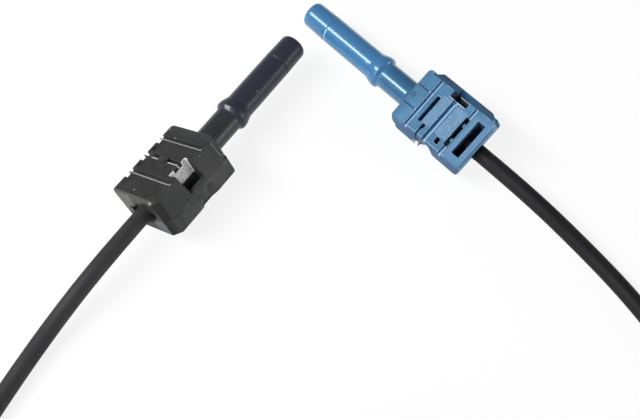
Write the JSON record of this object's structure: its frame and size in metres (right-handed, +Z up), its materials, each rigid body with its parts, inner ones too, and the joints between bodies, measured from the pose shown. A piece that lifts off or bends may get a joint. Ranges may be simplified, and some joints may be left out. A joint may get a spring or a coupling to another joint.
{
  "type": "plastic fibre optic cable",
  "caption": "Plastic fibre patch cable: black jacketed fibre with a hinged snap connector and a long round nose on each end, spare length in a tied coil.",
  "frame": {"origin": "on the table, under the middle of the box around the two connectors", "axes": "+Z up from the table, +X along the longer side of the two connectors' box, +Y the way both noses point"},
  "size_m": [0.0895, 0.0935, 0.0098],
  "materials": {
    "black_moulding": "satin moulded",
    "blue_moulding": "semi-gloss moulded",
    "cable_jacket": "smooth extruded",
    "fibre_core": "polished clear",
    "tie_band": "woven"
  },
  "bodies": {
    "cable_assembly": {"black_connector_body": "black_moulding", "black_jacket_end": "cable_jacket", "black_fibre_end": "fibre_core", "blue_connector_body": "blue_moulding", "blue_jacket_end": "cable_jacket", "blue_fibre_end": "fibre_core", "cable_black_lead": "cable_jacket", "cable_blue_lead": "cable_jacket", "cable_coil": "cable_jacket", "coil_tie_left": "tie_band", "coil_tie_right": "tie_band"},
    "black_lid": {"black_connector_lid": "black_moulding"},
    "blue_lid": {"blue_connector_lid": "blue_moulding"}
  },
  "joints": [
    {"name": "black_lid_hinge", "type": "hinge", "parent": "cable_assembly", "child": "black_lid", "pos_m": [-0.01939, -0.00702, 0.00192], "axis": [-0.565, -0.8251, 0], "range_deg": [0, 90]},
    {"name": "blue_lid_hinge", "type": "hinge", "parent": "cable_assembly", "child": "blue_lid", "pos_m": [0.0139, -0.00351, 0.00188], "axis": [0.6782, -0.7349, 0], "range_deg": [0, 90]}
  ]
}
